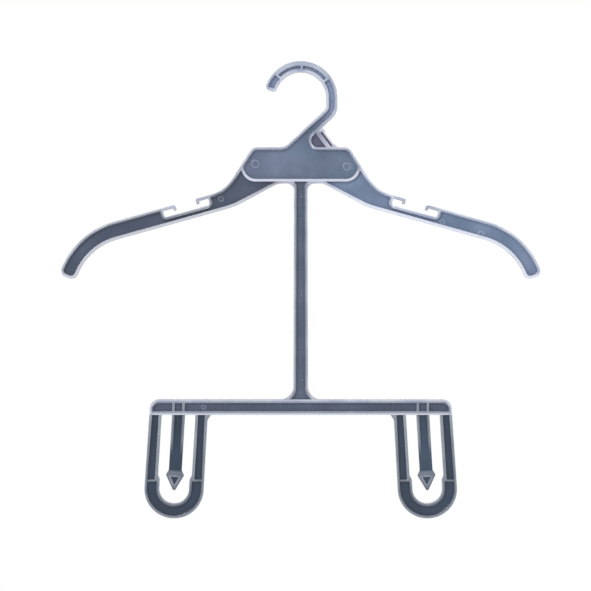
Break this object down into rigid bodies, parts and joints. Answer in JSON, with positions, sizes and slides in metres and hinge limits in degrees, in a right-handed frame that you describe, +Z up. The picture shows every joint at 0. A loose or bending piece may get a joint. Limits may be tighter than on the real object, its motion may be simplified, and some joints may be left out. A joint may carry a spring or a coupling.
{
  "type": "clothes hanger",
  "caption": "One-piece plastic set hanger: offset hook, drooped arms with strap notches, a centre post and a low bar with looped spring clips.",
  "frame": {"origin": "centre of the rail inside the hook, on the moulding's middle plane", "axes": "+X across the shoulders, +Z up, -Y out of the front face"},
  "size_m": [0.3586, 0.006, 0.3425],
  "materials": {
    "clear_plastic": "smoky translucent gloss"
  },
  "bodies": {
    "hanger": {"hook": "clear_plastic", "hub_plate": "clear_plastic", "size_clip_lug": "clear_plastic", "left_arm": "clear_plastic", "right_arm": "clear_plastic", "left_inner_strap_hook": "clear_plastic", "left_outer_strap_hook": "clear_plastic", "right_inner_strap_hook": "clear_plastic", "right_outer_strap_hook": "clear_plastic", "centre_post": "clear_plastic", "crossbar": "clear_plastic", "left_clip_loop": "clear_plastic", "right_clip_loop": "clear_plastic"},
    "left_prong": {"left_clip_prong": "clear_plastic"},
    "right_prong": {"right_clip_prong": "clear_plastic"}
  },
  "joints": [
    {"name": "left_prong_flex", "type": "hinge", "parent": "hanger", "child": "left_prong", "pos_m": [-0.09172, 0, -0.24114], "axis": [0.9981, 0, -0.061], "range_deg": [-15, 15], "stiffness_Nm_per_rad": 0.15},
    {"name": "right_prong_flex", "type": "hinge", "parent": "hanger", "child": "right_prong", "pos_m": [0.09172, 0, -0.24114], "axis": [0.9981, 0, 0.061], "range_deg": [-15, 15], "stiffness_Nm_per_rad": 0.15}
  ]
}
